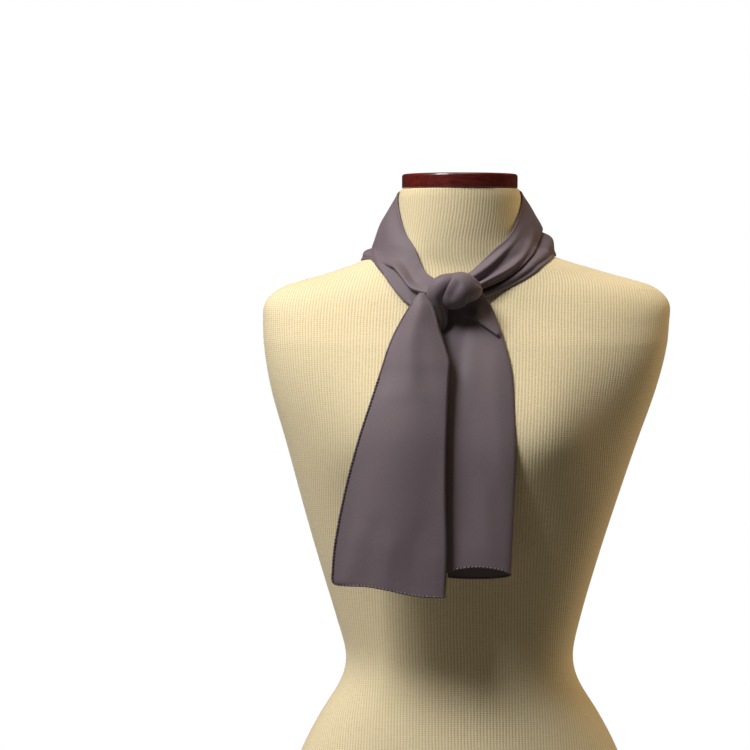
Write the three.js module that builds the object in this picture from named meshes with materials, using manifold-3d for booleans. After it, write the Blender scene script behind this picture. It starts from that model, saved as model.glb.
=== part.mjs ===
// A silk scarf tied in a half knot on a limbless dress form.
// Millimetres, +Z up. The form's front faces -Y and the origin is the middle of its flat base.
// Left and right are those of someone facing the front, so +X is on the right.
import * as THREE from 'three';
import Module from 'manifold-3d';

const wasm = await Module();
wasm.setup();

// ---------- driving dimensions ----------

const wall = 1.6; // cloth, modelled as a wall
const seam = 0.35; // gap between neighbouring pieces
const rest = 0.45; // gap under cloth that lies on the form
const formHeight = 842.3;
const formAround = 40;
const cap = { radius: 57.5, thick: 14.5, round: 3, middle: -6 };

// Form, base to neck: half width, lean to the right, reach forward and back of the section's
// middle, where that middle lies, and squareness (2 is an ellipse, more is squarer, less is pointed at the sides).
const formSections = [
  { z: 0, half: 186, lean: 0, front: 103, back: 112, middle: 2, square: 2.2 },
  { z: 60, half: 190.5, lean: 0, front: 106, back: 119, middle: 2, square: 2.2 },
  { z: 120, half: 191, lean: 0, front: 109, back: 126, middle: 2, square: 2.2 },
  { z: 180, half: 187, lean: 0, front: 110, back: 126, middle: 2, square: 2.15 },
  { z: 235, half: 176, lean: 0.5, front: 107, back: 115, middle: 1, square: 2.15 },
  { z: 282, half: 158, lean: 1, front: 99, back: 99, middle: 0, square: 2.1 },
  { z: 320, half: 138, lean: 1, front: 91, back: 87, middle: 0, square: 2.1 },
  { z: 348, half: 120, lean: 1, front: 86.5, back: 80.5, middle: 0, square: 2.1 },
  { z: 374, half: 113.5, lean: 0.7, front: 85, back: 78, middle: 0, square: 2.1 },
  { z: 412, half: 122, lean: -0.5, front: 88, back: 80.5, middle: 0, square: 2.1 },
  { z: 472, half: 139.5, lean: -1, front: 96, back: 88, middle: 0, square: 2.15 },
  { z: 532, half: 157.5, lean: 0, front: 105, back: 97, middle: 0, square: 2.2 },
  { z: 592, half: 175.5, lean: 2, front: 111, back: 105, middle: 0, square: 2.3 },
  { z: 640, half: 191, lean: 3.7, front: 107, back: 109, middle: 0, square: 2.35 },
  { z: 682, half: 200.5, lean: 5.7, front: 96, back: 106, middle: 1, square: 2.4 },
  { z: 712, half: 203, lean: 6.7, front: 83, back: 99, middle: 2, square: 2.3 },
  { z: 728, half: 202.5, lean: 7.7, front: 76, back: 94, middle: 2, square: 2.1 },
  { z: 739, half: 194.5, lean: 8.5, front: 71, back: 90, middle: 1, square: 1.9 },
  { z: 748, half: 179.5, lean: 9.3, front: 67, back: 86, middle: 0, square: 1.7 },
  { z: 757, half: 147, lean: 9, front: 64, back: 81, middle: -1, square: 1.6 },
  { z: 765, half: 121, lean: 7.5, front: 61.5, back: 76, middle: -2, square: 1.6 },
  { z: 773, half: 97, lean: 4, front: 60, back: 71, middle: -3, square: 1.65 },
  { z: 782, half: 77, lean: 2, front: 59, back: 66.5, middle: -4, square: 1.85 },
  { z: 792, half: 66, lean: 0.5, front: 58, back: 63, middle: -5, square: 2 },
  { z: 810, half: 62, lean: 0, front: 57.5, back: 59.5, middle: -6, square: 2 },
  { z: 836, half: 60.5, lean: 0, front: 57, back: 57.5, middle: -6, square: 2 },
  { z: formHeight, half: 58.5, lean: 0, front: 56, back: 56, middle: -6, square: 2 },
];

// Rings of the form: closer together over the shoulders, where the section changes fastest.
const ringBands = [
  { from: 0, to: 300, steps: 8 },
  { from: 300, to: 440, steps: 8 },
  { from: 440, to: 700, steps: 9 },
  { from: 700, to: 796, steps: 15 },
  { from: 796, to: formHeight, steps: 3 },
];

// Bust fullness, as a share of the section's forward reach.
const bust = { z: 598, share: 0.13, apart: 80, wide: 50, above: 70, below: 52 };

// Neck stretches, from the knot up the left side, round the nape (at 6) and down to the knot.
// in: the edge at the neck, out: the edge away from it, swell: how far the middle stands out.
const bandSections = [
  { at: 0, inX: -27, inY: -87, inZ: 753, outX: -30, outY: -92, outZ: 729, swell: 2 },
  { at: 1, inX: -37.5, inY: -64, inZ: 762.5, outX: -52, outY: -73, outZ: 730, swell: 4 },
  { at: 2, inX: -45.7, inY: -50, inZ: 783.5, outX: -71.5, outY: -49, outZ: 750, swell: 5 },
  { at: 3, inX: -54.5, inY: -35, inZ: 801, outX: -82.5, outY: -22, outZ: 773, swell: 5 },
  { at: 4, inX: -61, inY: -6, inZ: 835, outX: -86, outY: 8, outZ: 787, swell: 4 },
  { at: 5, inX: -45, inY: 38, inZ: 842, outX: -64, outY: 62, outZ: 782, swell: 4 },
  { at: 6, inX: 0, inY: 56, inZ: 841, outX: 0, outY: 84, outZ: 779, swell: 4 },
  { at: 7, inX: 45, inY: 38, inZ: 842, outX: 64, outY: 62, outZ: 785, swell: 4 },
  { at: 8, inX: 61, inY: -5, inZ: 837, outX: 82, outY: 4, outZ: 804, swell: 2 },
  { at: 9, inX: 49, inY: -42, inZ: 800, outX: 72.8, outY: -28, outZ: 784, swell: 3 },
  { at: 10, inX: 30, inY: -57, inZ: 780.5, outX: 56.6, outY: -50, outZ: 764, swell: 4 },
  { at: 11, inX: 12, inY: -66, inZ: 763, outX: 33, outY: -69, outZ: 749.5, swell: 3 },
  { at: 12, inX: -2, inY: -78, inZ: 754, outX: 4, outY: -84, outZ: 739, swell: 1 },
];

// Folds along the neck stretches: a lip that stands up by high and drops over width across.
const bandFolds = [
  { from: 0, to: 2.3, start: 0.5, end: 0.66, high: 5, wide: 0.2, drop: 0.05 },
  { from: 8.3, to: 12, start: 0.62, end: 0.42, high: 4.5, wide: 0.26, drop: 0.12 },
];

// How far the under fold reaches past the outer edge of the neck stretches.
const underReach = [
  { at: 2.2, reach: 1 },
  { at: 3, reach: 6 },
  { at: 3.6, reach: 12 },
  { at: 4.2, reach: 13 },
  { at: 5, reach: 9 },
  { at: 6, reach: 7 },
  { at: 7, reach: 12 },
  { at: 8, reach: 27 },
  { at: 9, reach: 25 },
  { at: 10, reach: 16 },
  { at: 11, reach: 9 },
  { at: 11.5, reach: 8 },
];
const under = { tuck: 0.5, bulge: 6, behind: wall + 1.4 };

// Knot wrap, left to right: middle of each section, half height and half depth.
const knotSections = [
  { at: 0, x: -17.5, y: -99, z: 748, high: 8, deep: 9 },
  { at: 1, x: -13.5, y: -99.5, z: 742.5, high: 17.5, deep: 13 },
  { at: 2, x: -6, y: -99.5, z: 743, high: 18.2, deep: 14 },
  { at: 3, x: 2, y: -98, z: 744.5, high: 16, deep: 13 },
  { at: 4, x: 9.5, y: -95.5, z: 744.5, high: 11.5, deep: 10.5 },
  { at: 5, x: 15, y: -93.5, z: 743, high: 7, deep: 7 },
  { at: 6, x: 17, y: -92.5, z: 743, high: 2.5, deep: 3 },
];

// Knot tuck, top to bottom: the end that turns down beside the wrap.
const tuckSections = [
  { at: 0, x: -26, y: -95, z: 756, wide: 4.5, deep: 5 },
  { at: 1, x: -26, y: -98, z: 749, wide: 9, deep: 9 },
  { at: 2, x: -24.5, y: -99, z: 737, wide: 8.5, deep: 9 },
  { at: 3, x: -21.7, y: -98.5, z: 724, wide: 7.2, deep: 7 },
  { at: 4, x: -19.5, y: -97, z: 713, wide: 5.6, deep: 5 },
  { at: 5, x: -20.5, y: -97, z: 704, wide: 1.6, deep: 2.5 },
];

// Front tail: edges, where its middle hangs, how far the left edge lies back, how far the
// middle stands out, and the width that the right edge turns back behind.
const frontTail = [
  { z: 741, left: -42, right: -34.5, y: -100, back: 0, bow: 0, turn: 1 },
  { z: 728, left: -51.5, right: -31.5, y: -106, back: 3, bow: 3, turn: 6 },
  { z: 705, left: -64.8, right: -22.5, y: -114, back: 6, bow: 5, turn: 16 },
  { z: 675, left: -77, right: -14.5, y: -123, back: 7, bow: 5, turn: 28 },
  { z: 640, left: -89, right: -15.5, y: -133, back: 7, bow: 4, turn: 36 },
  { z: 600, left: -102, right: -17, y: -140, back: 7, bow: 3, turn: 40 },
  { z: 550, left: -115, right: -17.5, y: -144, back: 6, bow: 2.5, turn: 41 },
  { z: 500, left: -124, right: -16.5, y: -145, back: 5, bow: 2.5, turn: 41 },
  { z: 462, left: -125.5, right: -18, y: -145, back: 4, bow: 2, turn: 41 },
];
const frontFold = 3.2; // half the gap between the tail's front and the part turned back

// Back tail: edges of the flat tube, where its middle hangs, and half its depth.
const backTail = [
  { z: 734, left: -12, right: 15, y: -85, deep: 2.5 },
  { z: 725, left: -13, right: 26.5, y: -86, deep: 3 },
  { z: 712, left: -16, right: 33, y: -89.5, deep: 4 },
  { z: 695, left: -18, right: 39, y: -95, deep: 4.5 },
  { z: 665, left: -20, right: 46.5, y: -106, deep: 4.5 },
  { z: 630, left: -21, right: 48.5, y: -116, deep: 4.5 },
  { z: 590, left: -21, right: 49, y: -124.5, deep: 4.5 },
  { z: 540, left: -21, right: 47.5, y: -127, deep: 5 },
  { z: 500, left: -21, right: 45.5, y: -127, deep: 5.5 },
  { z: 479, left: -20.5, right: 44.5, y: -127, deep: 5.5 },
];
const backDrop = 9; // how much lower the tube's back hangs than its front
const hemsAt = -1; // where round the tube its two hems meet, in radians from the back
const hemsApart = 0.06;

// ---------- small helpers ----------

// Smooth value of one named column of a table, whose rows rise or fall in the key column.
function column(rows, key, name, at) {
  const rising = rows[rows.length - 1][key] > rows[0][key] ? 1 : -1;
  const last = rows.length - 1;
  let i = rows.findIndex((row) => (row[key] - at) * rising > 0) - 1;
  if (i === -2) return rows[last][name];
  if (i < 0) return rows[0][name];
  i = Math.min(i, last - 1);
  const slope = (k) => {
    const a = Math.max(k - 1, 0);
    const b = Math.min(k + 1, last);
    return (rows[b][name] - rows[a][name]) / (rows[b][key] - rows[a][key]);
  };
  const span = rows[i + 1][key] - rows[i][key];
  const t = (at - rows[i][key]) / span;
  const rise = rows[i + 1][name] - rows[i][name];
  const m0 = slope(i) * span;
  const m1 = slope(i + 1) * span;
  return rows[i][name] + t * (m0 + t * (3 * rise - 2 * m0 - m1 + t * (m0 + m1 - 2 * rise)));
}

const vec = (x, y, z) => new THREE.Vector3(x, y, z);
const smooth = (t) => THREE.MathUtils.smoothstep(t, 0, 1);
const steps = (count, make) => Array.from({ length: count + 1 }, (_, i) => make(i / count));
const power = (value, p) => Math.sign(value) * Math.abs(value) ** p;

// ---------- the form as a function ----------

function formSection(z) {
  const get = (name) => column(formSections, 'z', name, z);
  return {
    half: get('half'),
    lean: get('lean'),
    front: get('front'),
    back: get('back'),
    middle: get('middle'),
    square: get('square'),
  };
}

// Forward or backward reach of a section at x, with the bust's fullness in front.
function reachAt(section, x, z, ahead) {
  if (!ahead) return section.back;
  const tall = z > bust.z ? bust.above : bust.below;
  const level = Math.exp(-(((z - bust.z) / tall) ** 2));
  const side = Math.exp(-(((Math.abs(x) - bust.apart) / bust.wide) ** 2));
  return section.front * (1 + bust.share * level * side);
}

function formPoint(turn, z) {
  const section = formSection(z);
  const x = section.half * power(Math.cos(turn), 2 / section.square);
  const ahead = Math.sin(turn) < 0;
  const y = reachAt(section, x, z, ahead) * power(Math.sin(turn), 2 / section.square);
  return vec(section.lean + x, section.middle + y, z);
}

// Below 1 inside the form, 1 on its surface, more outside.
function formLevel(p) {
  const section = formSection(p.z);
  const x = p.x - section.lean;
  const y = p.y - section.middle;
  const reach = reachAt(section, x, p.z, y < 0);
  const sum = Math.abs(x / section.half) ** section.square + Math.abs(y / reach) ** section.square;
  return sum ** (1 / section.square);
}

// Moves a point outwards until it is at least gap from the form's surface.
function clearOfForm(p, gap) {
  const point = p.clone();
  const h = 0.5;
  for (let round = 0; round < 5; round += 1) {
    const slope = vec(
      formLevel(point.clone().add(vec(h, 0, 0))) - formLevel(point.clone().add(vec(-h, 0, 0))),
      formLevel(point.clone().add(vec(0, h, 0))) - formLevel(point.clone().add(vec(0, -h, 0))),
      formLevel(point.clone().add(vec(0, 0, h))) - formLevel(point.clone().add(vec(0, 0, -h))),
    ).divideScalar(2 * h);
    const away = (formLevel(point) - 1) / slope.length();
    if (away >= gap) break;
    point.add(slope.normalize().multiplyScalar(gap - away));
  }
  return point;
}

// ---------- solids from points ----------

// Mesh geometry from points and triangles, turned so that its faces point out.
function solid(points, triangles) {
  const volume = triangles.reduce((sum, [a, b, c]) => {
    return sum + points[a].dot(points[b].clone().cross(points[c]));
  }, 0);
  const faces = volume > 0 ? triangles : triangles.map(([a, b, c]) => [a, c, b]);
  const geometry = new THREE.BufferGeometry();
  geometry.setAttribute('position', new THREE.Float32BufferAttribute(points.flatMap((p) => p.toArray()), 3));
  geometry.setIndex(faces.flat());
  geometry.computeVertexNormals();
  return geometry;
}

// Normals of a grid of points, grid[along][across].
function gridNormals(grid) {
  return grid.map((row, i) => row.map((_, j) => {
    const before = grid[Math.max(i - 1, 0)][j];
    const after = grid[Math.min(i + 1, grid.length - 1)][j];
    const left = row[Math.max(j - 1, 0)];
    const right = row[Math.min(j + 1, row.length - 1)];
    return after.clone().sub(before).cross(right.clone().sub(left)).normalize();
  }));
}

// Closed wall of cloth, half its thickness either side of a grid of points.
function clothWall(grid, thick = wall) {
  const normals = gridNormals(grid);
  const rows = grid.length;
  const columns = grid[0].length;
  const side = (sign) => grid.flatMap((row, i) => row.map((p, j) => {
    return p.clone().addScaledVector(normals[i][j], (sign * thick) / 2);
  }));
  const points = [...side(1), ...side(-1)];
  const lower = rows * columns;
  const faces = [];
  const quad = (a, b, c, d) => faces.push([a, b, c], [a, c, d]);
  const at = (i, j) => i * columns + j;
  for (let i = 0; i < rows - 1; i += 1) {
    for (let j = 0; j < columns - 1; j += 1) {
      quad(at(i, j), at(i + 1, j), at(i + 1, j + 1), at(i, j + 1));
      quad(lower + at(i, j), lower + at(i, j + 1), lower + at(i + 1, j + 1), lower + at(i + 1, j));
    }
    quad(at(i, 0), lower + at(i, 0), lower + at(i + 1, 0), at(i + 1, 0));
    const end = columns - 1;
    quad(at(i, end), at(i + 1, end), lower + at(i + 1, end), lower + at(i, end));
  }
  for (let j = 0; j < columns - 1; j += 1) {
    const end = rows - 1;
    quad(at(0, j), at(0, j + 1), lower + at(0, j + 1), lower + at(0, j));
    quad(at(end, j), lower + at(end, j), lower + at(end, j + 1), at(end, j + 1));
  }
  return solid(points, faces);
}

// Closed body through rings of points, with a flat or pointed cap at each end.
function ringLoft(rings) {
  const around = rings[0].length;
  const middle = (ring) => ring.reduce((sum, p) => sum.add(p), vec(0, 0, 0)).divideScalar(around);
  const points = [...rings.flat(), middle(rings[0]), middle(rings[rings.length - 1])];
  const foot = points.length - 2;
  const head = points.length - 1;
  const faces = [];
  for (let k = 0; k < around; k += 1) {
    const next = (k + 1) % around;
    for (let i = 0; i < rings.length - 1; i += 1) {
      const a = i * around;
      const b = a + around;
      faces.push([a + k, a + next, b + next], [a + k, b + next, b + k]);
    }
    const top = (rings.length - 1) * around;
    faces.push([foot, next, k], [head, top + k, top + next]);
  }
  return solid(points, faces);
}

function toManifold(geometry) {
  return new wasm.Manifold(new wasm.Mesh({
    numProp: 3,
    vertProperties: geometry.attributes.position.array,
    triVerts: Uint32Array.from(geometry.index.array),
  }));
}

// The piece with its neighbours cut away. Each neighbour is given already grown by the seam.
function cutBy(geometry, ...neighbours) {
  const cut = neighbours.reduce((left, other) => left.subtract(toManifold(other)), toManifold(geometry));
  const mesh = cut.getMesh();
  const result = new THREE.BufferGeometry();
  result.setAttribute('position', new THREE.BufferAttribute(mesh.vertProperties, 3));
  result.setIndex(new THREE.BufferAttribute(mesh.triVerts, 1));
  result.computeVertexNormals();
  return result;
}

// ---------- dress form and cap ----------

function formBody() {
  const levels = ringBands.flatMap(({ from, to, steps: count }) => {
    return steps(count, (t) => from + (to - from) * t).slice(from === 0 ? 0 : 1);
  });
  const rings = levels.map((z) => {
    return steps(formAround - 1, (t) => formPoint(t * 2 * Math.PI * (1 - 1 / formAround), z));
  });
  return ringLoft(rings);
}

function neckCap() {
  const profile = [new THREE.Vector2(0, 0)];
  const corner = (cx, cy, start) => steps(3, (t) => {
    const turn = start + (t * Math.PI) / 2;
    profile.push(new THREE.Vector2(cx + cap.round * Math.cos(turn), cy + cap.round * Math.sin(turn)));
  });
  corner(cap.radius - cap.round, cap.round, -Math.PI / 2);
  corner(cap.radius - cap.round, cap.thick - cap.round, 0);
  profile.push(new THREE.Vector2(0, cap.thick));
  return new THREE.LatheGeometry(profile, 40);
}

// ---------- neck stretches ----------

// The stretch's edges and outward direction at one place along it.
function bandFrame(at) {
  const get = (name) => column(bandSections, 'at', name, at);
  const inner = vec(get('inX'), get('inY'), get('inZ'));
  const outer = vec(get('outX'), get('outY'), get('outZ'));
  return { inner, outer, swell: get('swell') };
}

function bandOutward(at) {
  const step = 0.05;
  const before = bandFrame(at - step);
  const after = bandFrame(at + step);
  const here = bandFrame(at);
  const along = after.inner.add(after.outer).sub(before.inner).sub(before.outer);
  const across = here.outer.clone().sub(here.inner);
  const out = across.clone().cross(along).normalize();
  const middle = here.inner.clone().add(here.outer);
  return out.dot(vec(middle.x, middle.y, 0)) < 0 ? out.negate() : out;
}

// Height of the folds at one place: it climbs to each lip over wide and falls over drop.
function foldHeight(at, across) {
  return bandFolds.reduce((sum, fold) => {
    const share = (at - fold.from) / (fold.to - fold.from);
    if (share < 0 || share > 1) return sum;
    const lip = fold.start + (fold.end - fold.start) * share;
    const fade = fold.from === 0 ? 1 - smooth(share) : smooth(share * 1.5);
    const climb = smooth((across - lip + fold.wide) / fold.wide);
    const fall = 1 - smooth((across - lip) / fold.drop);
    return sum + fold.high * fade * Math.min(climb, fall);
  }, 0);
}

function bandPoint(at, across, folds = 1) {
  const { inner, outer, swell } = bandFrame(at);
  const stand = swell * Math.sin(Math.PI * across) + folds * foldHeight(at, across);
  const point = inner.lerp(outer, across).addScaledVector(bandOutward(at), stand);
  const low = rest + wall / 2 + 0.4;
  return clearOfForm(point, low + under.behind * smooth(across / under.tuck));
}

function bandStretch(from, to, along) {
  const grid = steps(along, (s) => steps(12, (t) => bandPoint(from + (to - from) * s, t)));
  return clothWall(grid);
}

// Outward normal of the stretch without its folds.
function bandNormal(at, across) {
  const step = 0.04;
  const low = Math.max(across - step, 0);
  const high = Math.min(across + step, 1);
  const along = bandPoint(at + step, across, 0).sub(bandPoint(at - step, across, 0));
  const over = bandPoint(at, high, 0).sub(bandPoint(at, low, 0));
  const out = along.cross(over).normalize();
  return out.dot(bandOutward(at)) < 0 ? out.negate() : out;
}

// The under fold: behind the stretch's outer part while share is below 0, and from 0 to 1
// reaching past its edge.
function underPoint(at, share) {
  const across = 1 + Math.min(share, 0) * (1 - under.tuck);
  const point = bandPoint(at, across, 0).addScaledVector(bandNormal(at, across), -under.behind);
  if (share <= 0) return point;
  const { inner, outer } = bandFrame(at);
  const reach = column(underReach, 'at', 'reach', at);
  const chord = outer.clone().sub(inner).normalize();
  const stand = under.bulge * Math.sin(Math.PI * share) ** 2 * Math.min(1, reach / 25);
  point.addScaledVector(chord, share * reach).addScaledVector(bandOutward(at), stand);
  return clearOfForm(point, rest + wall / 2 + 0.4);
}

function underFold(from, to, along) {
  return clothWall(steps(along, (s) => steps(9, (t) => underPoint(from + (to - from) * s, t * 9 / 5 - 4 / 5))));
}

// ---------- knot ----------

function knotWrap(grow = 0) {
  const get = (name, at) => column(knotSections, 'at', name, at);
  const last = knotSections.length - 1;
  const rings = steps(14, (s) => {
    const at = last * s;
    return steps(15, (t) => {
      const turn = (2 * Math.PI * 15 * t) / 16;
      const y = get('y', at) + (get('deep', at) + grow) * Math.cos(turn);
      const z = get('z', at) + (get('high', at) + grow) * Math.sin(turn);
      return vec(get('x', at) + grow * (2 * s - 1) * 2, y, z);
    });
  });
  return ringLoft(rings);
}

function knotTuck(grow = 0) {
  const get = (name, at) => column(tuckSections, 'at', name, at);
  const last = tuckSections.length - 1;
  const rings = steps(10, (s) => {
    const at = last * s;
    return steps(11, (t) => {
      const turn = (2 * Math.PI * 11 * t) / 12;
      const x = get('x', at) + (get('wide', at) + grow) * Math.cos(turn);
      const y = get('y', at) + (get('deep', at) + grow) * Math.sin(turn);
      return vec(x, y, get('z', at) - grow * (2 * s - 1));
    });
  });
  return ringLoft(rings);
}

// ---------- tails ----------

// Across the front tail: 0 to flat is its face, then half a turn, then the part turned back.
const tailShares = { face: 11, bend: 4, turned: 4 };

function frontTailRow(z) {
  const get = (name) => column(frontTail, 'z', name, z);
  const [left, right, middle, back, bow, turn] = ['left', 'right', 'y', 'back', 'bow', 'turn'].map(get);
  const wide = right - left;
  const radius = Math.min(frontFold, wide / 4);
  const face = steps(tailShares.face, (t) => {
    const x = left + (wide - radius) * t;
    return vec(x, middle + back * (1 - t) ** 2 - bow * Math.sin(Math.PI * t), z);
  });
  const bend = steps(tailShares.bend, (t) => {
    const angle = Math.PI * t;
    return vec(right - radius + radius * Math.sin(angle), middle + radius * (1 - Math.cos(angle)), z);
  }).slice(1);
  const turned = steps(tailShares.turned, (t) => {
    const x = right - radius - Math.min(turn, wide * 0.7) * t;
    const share = 1 - (right - radius - x) / (wide - radius);
    const face2 = middle + back * (1 - share) ** 2 - bow * Math.sin(Math.PI * share);
    return vec(x, face2 + 2 * radius, z);
  }).slice(1);
  return [...face, ...bend, ...turned];
}

function frontTailWall() {
  const top = frontTail[0].z;
  const bottom = frontTail[frontTail.length - 1].z;
  return clothWall(steps(17, (s) => frontTailRow(top + (bottom - top) * s)));
}

// The back tail is a flat tube, open at the back near its left where its hems meet.
function backTailPoint(z, turn) {
  const get = (name) => column(backTail, 'z', name, z);
  const half = (get('right') - get('left')) / 2;
  const x = get('left') + half + half * power(Math.sin(turn), 0.9);
  const y = get('y') + get('deep') * power(Math.cos(turn), 0.8);
  const bottom = backTail[backTail.length - 1].z;
  const top = backTail[0].z;
  const low = ((top - z) / (top - bottom)) ** 2;
  return clearOfForm(vec(x, y, z - backDrop * low * (0.5 + 0.5 * Math.cos(turn))), rest + wall / 2 + 0.4);
}

function backTailWall() {
  const top = backTail[0].z;
  const bottom = backTail[backTail.length - 1].z;
  const grid = steps(15, (s) => steps(20, (t) => {
    const turn = hemsAt + hemsApart + (2 * Math.PI - 2 * hemsApart) * t;
    return backTailPoint(top + (bottom - top) * s, turn);
  }));
  return clothWall(grid);
}

// ---------- materials and assembly ----------

const silk = () => new THREE.MeshStandardMaterial({ color: 0x62575e, roughness: 0.5, metalness: 0 });
const jersey = () => new THREE.MeshStandardMaterial({ color: 0xdccfa8, roughness: 0.9, metalness: 0 });
const mahogany = () => new THREE.MeshStandardMaterial({ color: 0x5a1f1c, roughness: 0.25, metalness: 0 });

const part = new THREE.Group();

function add(name, geometry, material) {
  const mesh = new THREE.Mesh(geometry, material);
  mesh.name = name;
  part.add(mesh);
  return mesh;
}

add('form_body', formBody(), jersey());
const capMesh = add('neck_cap', neckCap(), mahogany());
capMesh.rotation.x = Math.PI / 2;
capMesh.position.set(0, cap.middle, formHeight + seam);

const knotRoom = knotWrap(seam);
const tuckRoom = knotTuck(seam);

add('left_neck_stretch', cutBy(bandStretch(0, 4.4, 16), tuckRoom), silk());
add('nape_stretch', bandStretch(4.42, 7.58, 10), silk());
add('right_neck_stretch', cutBy(bandStretch(7.6, 12, 16), knotRoom), silk());
add('left_under_fold', underFold(2.3, 5.98, 12), silk());
add('right_under_fold', cutBy(underFold(6.02, 11.5, 18), knotRoom), silk());
add('knot_wrap', knotWrap(), silk());
add('knot_tuck', cutBy(knotTuck(), knotRoom), silk());
add('front_tail', cutBy(frontTailWall(), knotRoom, tuckRoom), silk());
add('back_tail', cutBy(backTailWall(), knotRoom, tuckRoom), silk());

export default part;
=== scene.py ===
import math

import bpy
import numpy as np
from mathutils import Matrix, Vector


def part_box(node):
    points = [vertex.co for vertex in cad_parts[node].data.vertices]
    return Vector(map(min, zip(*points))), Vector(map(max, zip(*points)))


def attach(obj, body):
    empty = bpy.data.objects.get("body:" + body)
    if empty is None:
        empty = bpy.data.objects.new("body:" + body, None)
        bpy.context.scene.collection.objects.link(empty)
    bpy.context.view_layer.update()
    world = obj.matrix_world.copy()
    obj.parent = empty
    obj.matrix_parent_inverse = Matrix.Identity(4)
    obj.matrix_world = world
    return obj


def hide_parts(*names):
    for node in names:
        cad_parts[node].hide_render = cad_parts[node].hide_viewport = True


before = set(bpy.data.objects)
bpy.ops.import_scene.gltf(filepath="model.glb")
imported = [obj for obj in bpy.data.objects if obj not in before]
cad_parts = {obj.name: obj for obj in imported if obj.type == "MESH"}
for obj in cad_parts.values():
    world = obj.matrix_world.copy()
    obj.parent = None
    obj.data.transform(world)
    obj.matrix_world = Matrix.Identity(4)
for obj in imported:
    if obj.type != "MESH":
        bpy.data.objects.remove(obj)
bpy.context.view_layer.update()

# Silk scarf on a dress form. Shapes are worked out in millimetres and put into the meshes in metres.
mm = 0.001
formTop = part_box("form_body")[1][2] / mm
capLow, capHigh = (np.array(corner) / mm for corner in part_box("neck_cap"))
rng = np.random.default_rng(7)


# ---- shapes: helpers ----

def column(table, key, name, at):
    # a smooth curve through one named column of a table, by cubic pieces between its rows
    keys = np.array(table[key], float)
    values = np.array(table[name], float)
    if keys[0] > keys[-1]:
        keys, values = keys[::-1], values[::-1]
    before = np.maximum(np.arange(len(keys)) - 1, 0)
    after = np.minimum(np.arange(len(keys)) + 1, len(keys) - 1)
    slopes = (values[after] - values[before]) / (keys[after] - keys[before])
    at = np.clip(at, keys[0], keys[-1])
    i = np.clip(np.searchsorted(keys, at, side="right") - 1, 0, len(keys) - 2)
    span = keys[i + 1] - keys[i]
    t = (at - keys[i]) / span
    rise = values[i + 1] - values[i]
    m0, m1 = slopes[i] * span, slopes[i + 1] * span
    return values[i] + t * (m0 + t * (3 * rise - 2 * m0 - m1 + t * (m0 + m1 - 2 * rise)))


def smooth(t):
    t = np.clip(t, 0, 1)
    return t * t * (3 - 2 * t)


def power(value, p):
    return np.sign(value) * np.abs(value) ** p


def unit(v):
    return v / np.maximum(np.linalg.norm(v, axis=-1, keepdims=True), 1e-9)


def lengths(points, axis):
    # running length along one direction of the grid, zero at its start
    steps = np.linalg.norm(np.diff(points, axis=axis), axis=-1)
    start = np.zeros_like(np.take(steps, [0], axis=axis))
    return np.concatenate([start, np.cumsum(steps, axis=axis)], axis=axis)


def crease(u, v, rows):
    # soft troughs and ridges: each is a line on the sheet from one point to another, in the units
    # of u and v, with a depth (minus for a trough), a width and ends that fade out
    height = np.zeros(np.broadcast(u, v).shape)
    for u0, v0, u1, v1, depth, wide in rows:
        du, dv = u1 - u0, v1 - v0
        size = math.hypot(du, dv)
        share = ((u - u0) * du + (v - v0) * dv) / size ** 2
        off = ((u - u0) * dv - (v - v0) * du) / size
        ends = smooth((share + 0.15) / 0.35) * smooth((1.15 - share) / 0.35)
        height += depth * ends * np.exp(-(off / wide) ** 2)
    return height


def pleat(u, v, start, end, high, wide, drop):
    # cloth that climbs to a line and falls off sharply past it, as one layer lying over the next
    du, dv = end[0] - start[0], end[1] - start[1]
    size = math.hypot(du, dv)
    share = ((u - start[0]) * du + (v - start[1]) * dv) / size ** 2
    off = ((u - start[0]) * dv - (v - start[1]) * du) / size
    ends = smooth((share + 0.1) / 0.3) * smooth((1.12 - share) / 0.2)
    return high * ends * np.minimum(smooth((off + wide) / wide), 1 - smooth(off / drop))


def makeMesh(name, vertices, faces, uv=None):
    mesh = bpy.data.meshes.new(name)
    mesh.from_pydata((vertices * mm).tolist(), [], faces.tolist())
    mesh.polygons.foreach_set("use_smooth", np.ones(len(faces), bool))
    if uv is not None:
        layer = mesh.uv_layers.new(name="cloth")
        layer.data.foreach_set("uv", (uv[faces.ravel()] * mm).ravel())
    mesh.update()
    piece = bpy.data.objects.new(name, mesh)
    bpy.context.scene.collection.objects.link(piece)
    return piece


def gridFaces(rows, columns, around=False, flip=False):
    i, j = np.meshgrid(np.arange(rows - 1), np.arange(columns if around else columns - 1), indexing="ij")
    i, j = i.ravel(), j.ravel()
    k = (j + 1) % columns
    corners = [i * columns + j, i * columns + k, (i + 1) * columns + k, (i + 1) * columns + j]
    return np.stack(corners[::-1] if flip else corners, axis=1)


def sheetPiece(name, points, uv, flip=False):
    rows, columns = points.shape[:2]
    return makeMesh(name, points.reshape(-1, 3), gridFaces(rows, columns, flip=flip), uv.reshape(-1, 2))


def thicken(piece, thick):
    wall = piece.modifiers.new("thickness", "SOLIDIFY")
    wall.thickness = thick * mm
    wall.offset = 0
    wall.use_rim = True


def tubeAlong(path, radius, sides=8):
    # a circle carried along a path from its first point to its last, its ends left open
    along = unit(np.gradient(path, axis=0))
    side = unit(np.cross(along, np.array([0.1, 0.9, 0.3])))
    up = np.cross(side, along)
    turn = np.linspace(0, 2 * np.pi, sides, endpoint=False)
    ring = side[:, None] * np.cos(turn)[None, :, None] + up[:, None] * np.sin(turn)[None, :, None]
    points = (path[:, None] + radius * ring).reshape(-1, 3)
    faces = gridFaces(len(path), sides, around=True, flip=True)
    return points, faces


# ---- materials ----

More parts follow.
